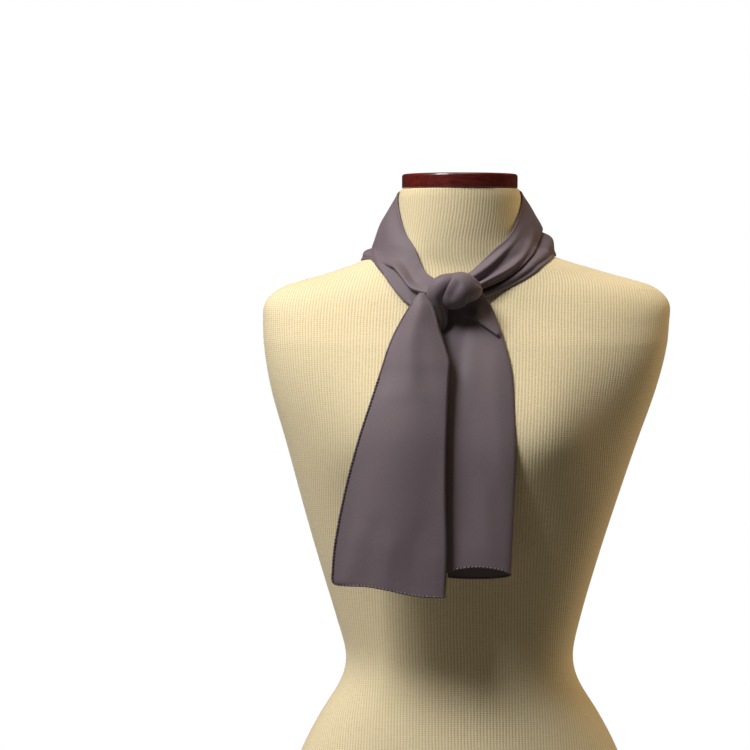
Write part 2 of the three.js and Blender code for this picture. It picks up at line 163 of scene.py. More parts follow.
def linear(hexColour):
    parts = np.array([int(hexColour[i:i + 2], 16) for i in (1, 3, 5)]) / 255
    values = np.where(parts <= 0.04045, parts / 12.92, ((parts + 0.055) / 1.055) ** 2.4)
    return (*values.tolist(), 1.0)


def newMaterial(name):
    material = bpy.data.materials.new(name)
    material.use_nodes = True
    tree = material.node_tree
    return material, tree, tree.nodes["Principled BSDF"]


def node(tree, kind, inputs=None, **settings):
    # adds a node, sets its properties and fills its sockets with values or links
    made = tree.nodes.new("ShaderNode" + kind)
    for key, value in settings.items():
        setattr(made, key, value)
    for key, value in (inputs or {}).items():
        if isinstance(value, bpy.types.NodeSocket):
            tree.links.new(value, made.inputs[key])
        else:
            made.inputs[key].default_value = value
    return made


# pattern sizes are in mm; one written as 1000 / n has n cells in a metre
satinLook = {
    "colour": "#756a72", "deep": "#6b606a", "sheenTint": "#8f86b4",
    "roughness": 0.6, "specular": 0.3, "sheen": 0.3, "sheenRoughness": 0.35,
    "threadMm": 0.9, "threadSquash": 0.35, "grainMm": 1.6, "cloudMm": 1000 / 14,
    "slubShare": 0.6, "cloudShare": 0.4, "grainHeight": 0.5, "bump": 0.32, "bumpMm": 0.4,
}


def silkSatin():
    # Silk satin, woven warp-faced, piece-dyed: long floats give a broad soft sheen that turns
    # slightly violet where the cloth is seen edge-on. Threads are 0.05 mm and are drawn coarser.
    look = satinLook
    material, tree, surface = newMaterial("silk satin, piece-dyed mauve grey")
    uv = node(tree, "UVMap", uv_map="cloth").outputs[0]
    place = node(tree, "TexCoord").outputs["Object"]
    threads = node(tree, "Mapping", {"Vector": uv, "Scale": (1.0, look["threadSquash"], 1.0)}).outputs[0]
    slub = node(tree, "TexNoise", {"Vector": threads, "Scale": 1 / (look["threadMm"] * mm),
                                   "Detail": 2.0, "Roughness": 0.6}).outputs["Fac"]
    grain = node(tree, "TexNoise", {"Vector": place, "Scale": 1 / (look["grainMm"] * mm),
                                    "Detail": 1.0}).outputs["Fac"]
    cloud = node(tree, "TexNoise", {"Vector": place, "Scale": 1 / (look["cloudMm"] * mm),
                                    "Detail": 2.0}).outputs["Fac"]
    cloudPart = node(tree, "Math", {0: cloud, 1: look["cloudShare"]}, operation="MULTIPLY").outputs[0]
    both = node(tree, "Math", {0: slub, 1: look["slubShare"], 2: cloudPart},
                operation="MULTIPLY_ADD").outputs[0]
    ramp = node(tree, "ValToRGB", {"Fac": both})
    ramp.color_ramp.elements[0].position = 0.3
    ramp.color_ramp.elements[1].position = 0.7
    ramp.color_ramp.elements[0].color = linear(look["deep"])
    ramp.color_ramp.elements[1].color = linear(look["colour"])
    tree.links.new(ramp.outputs[0], surface.inputs["Base Color"])
    height = node(tree, "Math", {0: grain, 1: look["grainHeight"], 2: slub},
                  operation="MULTIPLY_ADD").outputs[0]
    bump = node(tree, "Bump", {"Height": height, "Strength": look["bump"], "Distance": look["bumpMm"] * mm})
    tree.links.new(bump.outputs[0], surface.inputs["Normal"])
    surface.inputs["Roughness"].default_value = look["roughness"]
    surface.inputs["IOR"].default_value = 1.54
    surface.inputs["Specular IOR Level"].default_value = look["specular"]
    surface.inputs["Sheen Weight"].default_value = look["sheen"]
    surface.inputs["Sheen Roughness"].default_value = look["sheenRoughness"]
    surface.inputs["Sheen Tint"].default_value = linear(look["sheenTint"])
    return material


threadLook = {"dark": "#1d1820", "light": "#2e2733", "roughness": 0.8, "twistMm": 1000 / 1500}


def stitchThread():
    # Spun polyester sewing thread in a darker shade, twisted: dull, with no sheen of its own.
    look = threadLook
    material, tree, surface = newMaterial("sewing thread, darker mauve")
    place = node(tree, "TexCoord").outputs["Object"]
    twist = node(tree, "TexNoise", {"Vector": place, "Scale": 1 / (look["twistMm"] * mm)}).outputs["Fac"]
    ramp = node(tree, "ValToRGB", {"Fac": twist})
    ramp.color_ramp.elements[0].color = linear(look["dark"])
    ramp.color_ramp.elements[1].color = linear(look["light"])
    tree.links.new(ramp.outputs[0], surface.inputs["Base Color"])
    surface.inputs["Roughness"].default_value = look["roughness"]
    return material


# the groove colour is painted shade: the knit's hollows are coloured darker than its ribs
jerseyLook = {
    "rib": "#ece0bd", "grooveShade": "#c4ae7e", "roughness": 0.92, "sheen": 0.15, "sheenRoughness": 0.6,
    "courseMm": 2.1, "ribMm": 3.15, "driftMm": 1000 / 60, "driftTurn": 2.2,
    "slubMm": 1000 / 90, "slubSquash": 6.0, "fuzzMm": 1000 / 700,
    "ribHigh": 0.30, "courseHigh": 0.14, "knitShade": 0.62, "yarnTone": 0.55,
    "yarnHigh": 0.35, "bump": 0.5, "depthMm": 0.5,
}


def ribbedJersey():
    # Cotton jersey, rib-knitted and stretched over the padding: matt, with upright ribs, fine
    # courses between them and an uneven yarn. The grooves between ribs and courses are coloured darker than
    # the ribs as painted shade in the knit's hollows; the uneven yarn is its own tone.
    look = jerseyLook
    material, tree, surface = newMaterial("cotton jersey, ribbed, unbleached")
    uv = node(tree, "UVMap", uv_map="cloth").outputs[0]
    place = node(tree, "TexCoord").outputs["Object"]
    parts = node(tree, "SeparateXYZ", {"Vector": uv}).outputs
    drift = node(tree, "TexNoise", {"Vector": place, "Scale": 1 / (look["driftMm"] * mm),
                                    "Detail": 2.0}).outputs["Fac"]
    shift = node(tree, "Math", {0: drift, 1: look["driftTurn"]}, operation="MULTIPLY").outputs[0]
    ribs = 2 * np.pi / (look["ribMm"] * mm)
    courses = 2 * np.pi / (look["courseMm"] * mm)
    ribTurn = node(tree, "Math", {0: parts[0], 1: ribs, 2: shift}, operation="MULTIPLY_ADD").outputs[0]
    courseTurn = node(tree, "Math", {0: parts[1], 1: courses, 2: shift}, operation="MULTIPLY_ADD").outputs[0]
    rib = node(tree, "Math", {0: ribTurn}, operation="SINE").outputs[0]
    course = node(tree, "Math", {0: courseTurn}, operation="SINE").outputs[0]
    stretched = node(tree, "Mapping", {"Vector": uv, "Scale": (1.0, look["slubSquash"], 1.0)}).outputs[0]
    slub = node(tree, "TexNoise", {"Vector": stretched, "Scale": 1 / (look["slubMm"] * mm),
                                   "Detail": 3.0}).outputs["Fac"]
    fuzz = node(tree, "TexNoise", {"Vector": place, "Scale": 1 / (look["fuzzMm"] * mm),
                                   "Detail": 2.0}).outputs["Fac"]
    ridges = node(tree, "Math", {0: rib, 1: look["ribHigh"], 2: 0.5}, operation="MULTIPLY_ADD").outputs[0]
    knit = node(tree, "Math", {0: course, 1: look["courseHigh"], 2: ridges},
                operation="MULTIPLY_ADD").outputs[0]
    twoYarns = node(tree, "Math", {0: slub, 1: fuzz}, operation="ADD").outputs[0]
    yarn = node(tree, "Math", {0: twoYarns, 1: 0.5}, operation="MULTIPLY").outputs[0]
    yarnPart = node(tree, "Math", {0: yarn, 1: look["yarnTone"]}, operation="MULTIPLY").outputs[0]
    # colour from the knit pattern is painted shade in its grooves; the yarn's unevenness adds its own tone
    tone = node(tree, "Math", {0: knit, 1: look["knitShade"], 2: yarnPart},
                operation="MULTIPLY_ADD").outputs[0]
    ramp = node(tree, "ValToRGB", {"Fac": tone})
    ramp.color_ramp.elements[0].position = 0.22
    ramp.color_ramp.elements[1].position = 0.66
    ramp.color_ramp.elements[0].color = linear(look["grooveShade"])
    ramp.color_ramp.elements[1].color = linear(look["rib"])
    tree.links.new(ramp.outputs[0], surface.inputs["Base Color"])
    height = node(tree, "Math", {0: yarn, 1: look["yarnHigh"], 2: knit}, operation="MULTIPLY_ADD").outputs[0]
    bump = node(tree, "Bump", {"Height": height, "Strength": look["bump"], "Distance": look["depthMm"] * mm})
    tree.links.new(bump.outputs[0], surface.inputs["Normal"])
    surface.inputs["Roughness"].default_value = look["roughness"]
    surface.inputs["Sheen Weight"].default_value = look["sheen"]
    surface.inputs["Sheen Roughness"].default_value = look["sheenRoughness"]
    return material


mahoganyLook = {
    "dark": "#3a0d0d", "light": "#7c2420", "grainMm": 1000 / 420, "grainStretch": 0.08,
    "roughness": 0.35, "coat": 0.9, "coatRoughness": 0.2,
}


def lacqueredMahogany():
    # Mahogany, turned, stained dark red and lacquered: a clear coat with a soft shine over fine
    # straight grain with short dark pores.
    look = mahoganyLook
    material, tree, surface = newMaterial("mahogany, turned and lacquered")
    place = node(tree, "TexCoord").outputs["Object"]
    along = node(tree, "Mapping", {"Vector": place, "Scale": (look["grainStretch"], 1.0, 1.0)}).outputs[0]
    grain = node(tree, "TexNoise", {"Vector": along, "Scale": 1 / (look["grainMm"] * mm), "Detail": 5.0,
                                    "Roughness": 0.65}).outputs["Fac"]
    ramp = node(tree, "ValToRGB", {"Fac": grain})
    ramp.color_ramp.elements[0].position = 0.32
    ramp.color_ramp.elements[1].position = 0.72
    ramp.color_ramp.elements[0].color = linear(look["dark"])
    ramp.color_ramp.elements[1].color = linear(look["light"])
    tree.links.new(ramp.outputs[0], surface.inputs["Base Color"])
    surface.inputs["Roughness"].default_value = look["roughness"]
    surface.inputs["Coat Weight"].default_value = look["coat"]
    surface.inputs["Coat Roughness"].default_value = look["coatRoughness"]
    surface.inputs["IOR"].default_value = 1.5
    return material


satin = silkSatin()
thread = stitchThread()
jersey = ribbedJersey()
mahogany = lacqueredMahogany()


def finishPiece(piece, material, slot, *nodes):
    piece.data.materials.append(material)
    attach(piece, "root")
    if nodes:
        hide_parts(*nodes)


# ---- dress form ----

form = {
    "around": 260,
    "z": [0, 60, 120, 180, 235, 282, 320, 348, 374, 412, 472, 532, 592, 640, 682, 712, 728, 739, 748,
          757, 765, 773, 782, 792, 810, 836, formTop],
    "half": [186, 190.5, 191, 187, 176, 158, 138, 120, 113.5, 122, 139.5, 157.5, 175.5, 191, 200.5, 203,
             202.5, 194.5, 179.5, 147, 121, 97, 77, 66, 62, 60.5, 58.5],
    "lean": [0, 0, 0, 0, 0.5, 1, 1, 1, 0.7, -0.5, -1, 0, 2, 3.7, 5.7, 6.7, 7.7, 8.5, 9.3, 9, 7.5, 4, 2,
             0.5, 0, 0, 0],
    "front": [103, 106, 109, 110, 107, 99, 91, 86.5, 85, 88, 96, 105, 111, 107, 96, 83, 76, 71, 67, 64,
              61.5, 60, 59, 58, 57.5, 57, 56],
    "back": [112, 119, 126, 126, 115, 99, 87, 80.5, 78, 80.5, 88, 97, 105, 109, 106, 99, 94, 90, 86, 81,
             76, 71, 66.5, 63, 59.5, 57.5, 56],
    "middle": [2, 2, 2, 2, 1, 0, 0, 0, 0, 0, 0, 0, 0, 0, 1, 2, 2, 1, 0, -1, -2, -3, -4, -5, -6, -6, -6],
    "square": [2.2, 2.2, 2.2, 2.15, 2.15, 2.1, 2.1, 2.1, 2.1, 2.1, 2.15, 2.2, 2.3, 2.35, 2.4, 2.3, 2.1,
               1.9, 1.7, 1.6, 1.6, 1.65, 1.85, 2, 2, 2, 2],
    "bustZ": 598, "bustShare": 0.165, "bustApart": 80, "bustWide": 50, "bustAbove": 70, "bustBelow": 52,
    "ribLean": 14, "ribLeanFrom": 735, "ribLeanOver": 105,
    "softBelow": 690, "softWide": 14.0, "softNarrow": 3.5,
}


def formColumn(name, z):
    # the column averaged over a few millimetres of height, so that no row of the table shows
    width = np.where(z < form["softBelow"], form["softWide"], form["softNarrow"])
    weights = np.array([1, 2, 3, 2, 1]) / 9
    return sum(w * column(form, "z", name, z + width * o) for w, o in zip(weights, (-1, -0.5, 0, 0.5, 1)))


def reachAt(x, z, ahead):
    tall = np.where(z > form["bustZ"], form["bustAbove"], form["bustBelow"])
    level = np.exp(-((z - form["bustZ"]) / tall) ** 2)
    side = np.exp(-((np.abs(x) - form["bustApart"]) / form["bustWide"]) ** 2)
    forward = formColumn("front", z) * (1 + form["bustShare"] * level * side)
    return np.where(ahead, forward, formColumn("back", z))


def formLevel(p):
    # 1 on the form's surface, less inside and more outside: a superellipse at every height
    z = p[..., 2]
    x, y = p[..., 0] - formColumn("lean", z), p[..., 1] - formColumn("middle", z)
    square = formColumn("square", z)
    reach = reachAt(x, z, y < 0)
    return (np.abs(x / formColumn("half", z)) ** square + np.abs(y / reach) ** square) ** (1 / square)


def formSlope(p, h=0.5):
    parts = [formLevel(p + h * axis) - formLevel(p - h * axis) for axis in np.eye(3)]
    return np.stack(parts, axis=-1) / (2 * h)


def clearOfForm(p, gap, ease=0.0):
    # points nearer than the gap are moved out along the form's slope; ease, in mm, rounds the
    # change from moved to unmoved cloth: gap + (over + sqrt(over^2 + ease^2)) / 2
    point = p.copy()
    wanted = None
    for _ in range(4):
        slope = formSlope(point)
        steep = np.linalg.norm(slope, axis=-1)
        away = (formLevel(point) - 1) / steep
        if wanted is None:
            over = away - gap
            wanted = gap + (over + np.sqrt(over ** 2 + ease ** 2)) / 2
        point += slope / steep[..., None] * (wanted - away)[..., None]
    return point


def dressForm():
    # rings of a superellipse, closer together over the shoulders; two fans close base and top
    bands = [(0, 690, 130), (690, 800, 90), (800, formTop, 30)]
    z = np.unique(np.concatenate([np.linspace(a, b, n) for a, b, n in bands]))
    turn = np.linspace(0, 2 * np.pi, form["around"], endpoint=False) - np.pi / 2
    z, turn = np.meshgrid(z, turn, indexing="ij")
    square = formColumn("square", z)
    x = formColumn("half", z) * power(np.cos(turn), 2 / square)
    y = reachAt(x, z, np.sin(turn) < 0) * power(np.sin(turn), 2 / square)
    points = np.stack([formColumn("lean", z) + x, formColumn("middle", z) + y, z], axis=-1)
    # cloth lengths: across from the middle of the front or back, up along the surface; from
    # ribLeanFrom up they shift sideways, so that the ribs lean on the neck
    closed = np.concatenate([points, points[:, :1]], axis=1)
    run = lengths(closed, 1)
    total = run[:, -1:]
    run = run[:, :-1]
    front = np.where(run < total / 4, run, np.where(run > 3 * total / 4, run - total, run - total / 2))
    front = front - form["ribLean"] * smooth((z - form["ribLeanFrom"]) / form["ribLeanOver"])
    up = lengths(points, 0)
    rows, columns = x.shape
    middle = points[[0, -1]].mean(axis=1)
    vertices = np.concatenate([points.reshape(-1, 3), middle])
    uv = np.concatenate([np.stack([front, up], axis=-1).reshape(-1, 2), [[0, 0], [0, up[-1].mean()]]])
    sides = gridFaces(rows, columns, around=True)
    k = np.arange(columns)
    base = np.stack([np.full(columns, rows * columns), (k + 1) % columns, k], axis=1)
    last = (rows - 1) * columns
    top = np.stack([np.full(columns, rows * columns + 1), last + k, last + (k + 1) % columns], axis=1)
    faces = sides.tolist() + base.tolist() + top.tolist()
    mesh = bpy.data.meshes.new("form_cover")
    mesh.from_pydata((vertices * mm).tolist(), [], faces)
    flat = np.zeros(len(faces), bool)
    flat[:len(sides)] = True
    mesh.polygons.foreach_set("use_smooth", flat)
    layer = mesh.uv_layers.new(name="cloth")
    corners = np.zeros(len(mesh.loops), int)
    mesh.loops.foreach_get("vertex_index", corners)
    layer.data.foreach_set("uv", (uv[corners] * mm).ravel())
    piece = bpy.data.objects.new("form_cover", mesh)
    bpy.context.scene.collection.objects.link(piece)
    finishPiece(piece, jersey, "jersey", "form_body")


capShape = {"sides": 128, "topRound": 2.6, "footRound": 1.6, "arc": 8}


def neckCap():
    # a turned disc: a profile of two rounded corners carried round the cap's axis
    size = capShape
    radius = (capHigh[0] - capLow[0]) / 2
    centre = (capLow + capHigh) / 2
    quarter = np.linspace(0, np.pi / 2, size["arc"])
    foot, top = size["footRound"], size["topRound"]
    r = np.concatenate([[0.01], radius - foot + foot * np.sin(quarter),
                        radius - top + top * np.cos(quarter), [0.01]])
    z = np.concatenate([[capLow[2]], capLow[2] + foot - foot * np.cos(quarter),
                        capHigh[2] - top + top * np.sin(quarter), [capHigh[2]]])
    turn = np.linspace(0, 2 * np.pi, size["sides"], endpoint=False)
    x = centre[0] + r[:, None] * np.cos(turn)
    y = centre[1] + r[:, None] * np.sin(turn)
    points = np.stack([x, y, np.broadcast_to(z[:, None], x.shape)], axis=-1)
    rows, columns = x.shape
    faces = gridFaces(rows, columns, around=True)
    piece = makeMesh("neck_cap_turned", points.reshape(-1, 3), faces)
    finishPiece(piece, mahogany, "mahogany", "neck_cap")


dressForm()
neckCap()
print("dress form and cap made")


# ---- neck stretches ----

band = {
    "along": 420, "across": 84, "turnIn": 0.7, "turnOut": 1.3, "hem": 6.0, "thick": 0.45, "stepMm": 40,
    "clear": 1.7, "clearOut": 3.0, "ease": 2.5,
    "at": [0, 1, 2, 3, 4, 5, 6, 7, 8, 9, 10, 11, 12],
    "inX": [-27, -37.5, -45.7, -54.5, -61, -45, 0, 45, 61, 49, 30, 12, -2],
    "inY": [-87, -64, -50, -35, -6, 38, 56, 38, -5, -42, -57, -66, -78],
    "inZ": [753, 762.5, 783.5, 801, 835, 842, 841, 842, 837, 800, 780.5, 763, 754],
    "outX": [-30, -52, -71.5, -82.5, -86, -64, 0, 64, 82, 72.8, 56.6, 33, 4],
    "outY": [-92, -73, -49, -22, 8, 62, 84, 62, 4, -28, -50, -69, -84],
    "outZ": [729, 730, 750, 773, 787, 782, 779, 785, 804, 784, 764, 749.5, 739],
    "swell": [2, 4, 5, 5, 4, 4, 4, 4, 2, 3, 4, 3, 1],
}
# the lip of the left pleat, as the share of the width it lies at, and how high it stands
leftLip = {
    "at": [0, 0.9, 1.9, 2.35, 2.6],
    "share": [0.6, 0.62, 0.63, 0.78, 0.88],
    "high": [4, 6.5, 5.5, 3, 0],
    "foot": 0.24, "climb": 0.22, "fall": 0.035,
}
# the trough of the right stretch, narrowing towards the knot, and the ridges on its two sides as
# shares of its depth, at their distance from its middle
rightTrough = {
    "at": [8.5, 9.2, 10.1, 11, 12],
    "share": [0.42, 0.44, 0.5, 0.56, 0.58],
    "deep": [0, 2.6, 6.5, 6.5, 4],
    "wide": [0.2, 0.18, 0.15, 0.12, 0.12],
    "lift": 0.6, "liftOver": 0.25, "inHigh": 0.3, "inAt": 0.27, "inWide": 0.14,
    "outHigh": 0.75, "outAt": 0.3, "outWide": 0.13,
}


def bandFrame(at):
    get = lambda name: column(band, "at", name, at)
    inner = np.stack([get("inX"), get("inY"), get("inZ")], axis=-1)
    outer = np.stack([get("outX"), get("outY"), get("outZ")], axis=-1)
    return inner, outer, get("swell")


def bandOutward(at, step=0.05):
    ins, outs = zip(*(bandFrame(at + s)[:2] for s in (-step, step)))
    along = ins[1] + outs[1] - ins[0] - outs[0]
    inner, outer, _ = bandFrame(at)
    out = unit(np.cross(outer - inner, along))
    middle = inner + outer
    facing = np.sign((out * middle * [1, 1, 0]).sum(-1, keepdims=True))
    return out * facing


def bandHeight(at, share):
    # the left pleat climbs slowly to its lip and drops sharply; the right one is a trough between
    # two ridges
    lip = column(leftLip, "at", "share", at)
    high = np.where(at < leftLip["at"][-1], column(leftLip, "at", "high", at), 0)
    climb = smooth((share - lip + leftLip["foot"]) / leftLip["climb"])
    fall = 1 - smooth((share - lip) / leftLip["fall"])
    lap = high * np.minimum(climb, fall)
    row = rightTrough
    off = share - column(row, "at", "share", at)
    wide = column(row, "at", "wide", at)
    deep = np.where(at > row["at"][0], column(row, "at", "deep", at), 0)
    trough = -deep * np.exp(-(off / wide) ** 2)
    lift = row["lift"] * deep * smooth(share / row["liftOver"])
    ridges = deep * (row["inHigh"] * np.exp(-((off + row["inAt"]) / row["inWide"]) ** 2)
                     + row["outHigh"] * np.exp(-((off - row["outAt"]) / row["outWide"]) ** 2))
    return lap + lift + trough + ridges


bandCreases = [
    # from and to: along the loop (its twelfths x stepMm) and across, then depth and width, all mm
    (60, 6, 110, 22, -0.9, 7), (84, 4, 150, 22, 0.8, 10), (126, 30, 176, 18, -0.9, 9),
    (150, 46, 206, 30, -0.9, 9), (190, 14, 262, 40, 1.0, 10), (214, 48, 286, 30, -1.1, 9),
    (268, 10, 322, 28, -1.0, 8), (296, 46, 330, 34, 0.7, 9), (236, 6, 300, 12, -0.7, 6),
]


def bandPoint(at, share, folds=1.0):
    # a point on the line from the inner to the outer edge, moved out by a half sine of the swell,
    # by the folds and by the creases, and then kept clear of the form
    inner, outer, swell = bandFrame(at)
    chord = outer - inner
    wide = np.linalg.norm(chord, axis=-1)
    stand = swell * np.sin(np.pi * share) + folds * bandHeight(at, share)
    stand = stand + folds * crease(at * band["stepMm"], share * wide, bandCreases)
    point = inner + chord * share[..., None] + bandOutward(at) * stand[..., None]
    return clearOfForm(point, band["clear"] + band["clearOut"] * smooth(share / 0.5), band["ease"])


def rolled(points, normals, chord, excess, radius):
    # past an edge the cloth turns round a small radius and runs back behind itself
    angle = np.clip(excess / radius, 0, np.pi)
    back = np.maximum(excess - np.pi * radius, 0)
    ahead = radius * np.sin(angle) - back
    down = radius * (1 - np.cos(angle))
    return points + chord * ahead[..., None] - normals * down[..., None]


def neckBand():
    # the loop from edge to edge, with a hem at each edge that rolls behind it
    size = band
    at, t = np.meshgrid(np.linspace(0, 12, size["along"]), np.linspace(0, 1, size["across"]), indexing="ij")
    inner, outer, _ = bandFrame(at)
    wide = np.linalg.norm(outer - inner, axis=-1)
    run = t * (wide + 2 * size["hem"]) - size["hem"]
    share = np.clip(run / wide, 0, 1)
    points = bandPoint(at, share)
    out = bandOutward(at)
    chord = unit(outer - inner)
    lowSide = rolled(points, out, chord, np.maximum(run - wide, 0), size["turnOut"])
    points = rolled(lowSide, out, -chord, np.maximum(-run, 0), size["turnIn"])
    uv = np.stack([lengths(points, 0), run], axis=-1)
    piece = sheetPiece("neck_band", points, uv, flip=True)
    thicken(piece, size["thick"])
    finishPiece(piece, satin, "silk", "left_neck_stretch", "nape_stretch", "right_neck_stretch")


underFold = {
    "along": 300, "across": 44, "from": 2.25, "to": 11.6, "tuck": 0.5, "behind": 3.0, "bulge": 6,
    "bulgeReach": 25, "ear": 6, "earAt": 3.75, "earWide": 0.45, "turn": 1.2, "hem": 6.0, "thick": 0.45,
    "clear": 1.6, "hemClear": 0.5,
    "at": [2.2, 3, 3.5, 4, 4.5, 5, 6, 7, 8, 9, 10, 11, 11.6],
    "reach": [1, 6, 14, 18, 14, 9, 7, 12, 27, 25, 16, 9, 8],
}


def underLayer():
    # starts halfway across the band, runs behind it, and shows past its outer edge by the reach
    size = underFold
    at, t = np.meshgrid(np.linspace(size["from"], size["to"], size["along"]),
                        np.linspace(0, 1, size["across"]), indexing="ij")
    inner, outer, _ = bandFrame(at)
    hidden = np.linalg.norm(outer - inner, axis=-1) * (1 - size["tuck"])
    reach = column(size, "at", "reach", at)
    run = t * (hidden + reach + size["hem"])
    share = np.clip(size["tuck"] + (1 - size["tuck"]) * run / hidden, 0, 1)
    past = np.clip((run - hidden) / reach, 0, 1)
    out = bandOutward(at)
    chord = unit(outer - inner)
    stand = size["bulge"] * np.sin(np.pi * past) ** 2 * np.minimum(1, reach / size["bulgeReach"])
    stand = stand + size["ear"] * past * np.exp(-((at - size["earAt"]) / size["earWide"]) ** 2)
    points = bandPoint(at, share, 0.0) - out * size["behind"]
    points = points + chord * (past * reach)[..., None] + out * stand[..., None]
    points = clearOfForm(points, size["clear"])
    points = rolled(points, out, chord, np.maximum(run - hidden - reach, 0), size["turn"])
    points = clearOfForm(points, size["hemClear"])
    uv = np.stack([lengths(points, 0), run], axis=-1)
    piece = sheetPiece("under_fold", points, uv, flip=True)
    thicken(piece, size["thick"])
    finishPiece(piece, satin, "silk", "left_under_fold", "right_under_fold")


neckBand()
underLayer()
print("neck stretches made")


# ---- knot ----

wrap = {
    "along": 120, "around": 120, "thick": 0.45,
    "at": [0, 1, 2, 3, 4, 5, 6, 7, 8],
    "x": [-25, -19, -13, -6.5, -0.5, 5, 9.6, 12.4, 13.2],
    "y": [-94, -97.5, -99, -99.5, -98.6, -96.8, -94.4, -91, -87],
    "z": [743, 741.5, 741, 743, 744.6, 744.2, 743.6, 743.4, 743.6],
    "high": [7, 13, 16.2, 17, 16.2, 13.8, 10.8, 7.8, 4.5],
    "deep": [5, 9.5, 12.5, 14, 13.4, 11.8, 9.5, 7, 4],
    # creases from and to, in stations along and radians round, then depth in mm and width
    "creases": [(4.0, 2.4, 7.2, 2.0, -0.7, 0.3), (5.2, 0.9, 7.6, 1.2, -0.6, 0.2),
                (2.0, 1.9, 3.6, 1.1, -1.6, 0.34)],
}
# the end that comes down out of the knot: it starts inside the turn, near its top, and bends down
tuck = {
    "along": 130, "around": 90, "thick": 0.45,
    "at": [0, 1, 2, 3, 4, 5, 6, 7],
    "x": [-4, -12, -20, -24.8, -25, -22.4, -20, -20.4],
    "y": [-97, -100, -102, -102, -100, -97, -95, -94],
    "z": [753, 751.8, 748.4, 741.6, 733.5, 723.5, 713, 704],
    "wide": [6, 7.8, 9.3, 9.9, 9.4, 7.8, 5.8, 1.7],
    "deep": [7.5, 9.4, 9.6, 9, 8, 6.8, 5, 2.5],
    "creases": [(3.0, 1.3, 6.4, 1.1, -0.7, 0.22), (3.5, 2.3, 6.4, 2.0, -0.6, 0.2)],
}


def sweep(size, across):
    # ellipses square to a curved path: one half-axis lies across it, the other faces the front
    stations = np.linspace(0, size["at"][-1], size["along"])
    at, turn = np.meshgrid(stations, np.linspace(0, 2 * np.pi, size["around"]), indexing="ij")
    get = lambda name: column(size, "at", name, at)
    path = np.stack([get("x"), get("y"), get("z")], axis=-1)
    along = unit(np.gradient(path, axis=0))
    ahead = np.array([0.0, -1.0, 0.0])
    front = unit(ahead - along * (along @ ahead)[..., None])
    side = np.cross(front, along)
    dent = crease(at, turn, size["creases"])
    wide = get(across) + dent
    deep = get("deep") + dent
    points = path + side * (wide * np.cos(turn))[..., None] + front * (deep * np.sin(turn))[..., None]
    uv = np.stack([lengths(points, 1), lengths(points, 0)], axis=-1)
    return points, uv


def knotWrap():
    points, uv = sweep(wrap, "high")
    piece = sheetPiece("knot_turn", points, uv)
    thicken(piece, wrap["thick"])
    finishPiece(piece, satin, "silk", "knot_wrap")


def knotTuck():
    points, uv = sweep(tuck, "wide")
    piece = sheetPiece("knot_end", points, uv)
    thicken(piece, tuck["thick"])
    finishPiece(piece, satin, "silk", "knot_tuck")


knotWrap()
knotTuck()
print("knot made")


# ---- tails ----

frontTail = {
    "along": 240, "across": 150, "fold": 3.2, "thick": 0.45, "corner": 6.5, "cornerReach": 14,
    "endRise": 2.8, "endFall": 9.5, "turnedDrop": 1.2, "turnedWide": 41,
    "z": [741, 728, 705, 686, 675, 664, 640, 600, 550, 500, 462],
    "left": [-42, -51, -64.3, -72.5, -76, -79.6, -87.5, -100.5, -113.5, -122.5, -125.5],
    "right": [-37.2, -28.6, -22.5, -16.2, -13.6, -14.4, -15.6, -17, -17.5, -16.5, -18],
    "y": [-104, -109.5, -115, -120, -123, -126, -133, -140.5, -144.5, -146.5, -147.5],
    "back": [0, 3, 6, 7, 7.5, 8.5, 10, 12, 13, 13, 13],
    "bow": [0, 3, 5, 5, 5, 4.6, 4, 3, 2.5, 2.5, 2],
    "turn": [1, 6, 16, 24, 28, 31, 36, 40, 40, 37, 36],
}
frontCreases = [
    # from and to in mm: down from the apex, and across from the left edge; depth and width
    (6, 6, 95, 34, 1.2, 9), (10, 10, 120, 66, -1.2, 10), (20, 2, 100, 8, -0.9, 7),
    (120, 30, 250, 52, 1.3, 22), (90, 78, 240, 88, -1.2, 16), (150, 8, 262, 16, -0.9, 10),
    (222, 20, 284, 13, 0.5, 7), (212, 38, 284, 30, -0.6, 9), (230, 54, 284, 50, 0.5, 7),
    (216, 76, 284, 74, -0.5, 9), (238, 97, 284, 98, 0.4, 8),
]


def frontTailPoints(down, run):
    # one height of the tail: its face, half a turn at the right edge, then the part turned back
    size = frontTail
    top, bottom = size["z"][0], size["z"][-1]
    z = top + (bottom - top) * down
    get = lambda name: column(size, "z", name, z)
    wide = get("right") - get("left")
    radius = np.minimum(size["fold"], wide / 4)
    face = wide - radius
    bend = np.pi * radius
    turned = np.minimum(get("turn"), wide * 0.7)
    s = run * (face + bend + turned)
    angle = np.clip((s - face) / radius, 0, np.pi)
    behind = np.clip(s - face - bend, 0, None)
    across = np.clip(s, 0, face) - behind
    share = np.clip(across / face, 0, 1)
    x = get("left") + across + radius * np.sin(angle)
    y = get("y") + get("back") * (1 - share) ** 1.5 - get("bow") * np.sin(np.pi * share)
    y = y + radius * (1 - np.cos(angle))
    lift = crease(top - z, across, frontCreases)
    # the end runs up a little at the left and down at the right, and the turned part hangs lower
    lean = (size["endRise"] - size["endFall"] * smooth((share - 0.25) / 0.65)) * smooth((down - 0.7) / 0.3)
    hang = -size["turnedDrop"] * behind / size["turnedWide"] * smooth((down - 0.8) / 0.2)
    drop = np.where(behind > 0, hang, 0)
    # the free corner is rounded: towards the end the side edge curves inward
    last = np.clip((down - 1) * (top - bottom) / size["corner"] + 1, 0, 1)
    near = np.exp(-across / size["cornerReach"]) * (behind == 0)
    inset = size["corner"] * (1 - np.sqrt(1 - last ** 2)) * near
    return np.stack([x + inset, y - lift, z + lean + drop], axis=-1), s


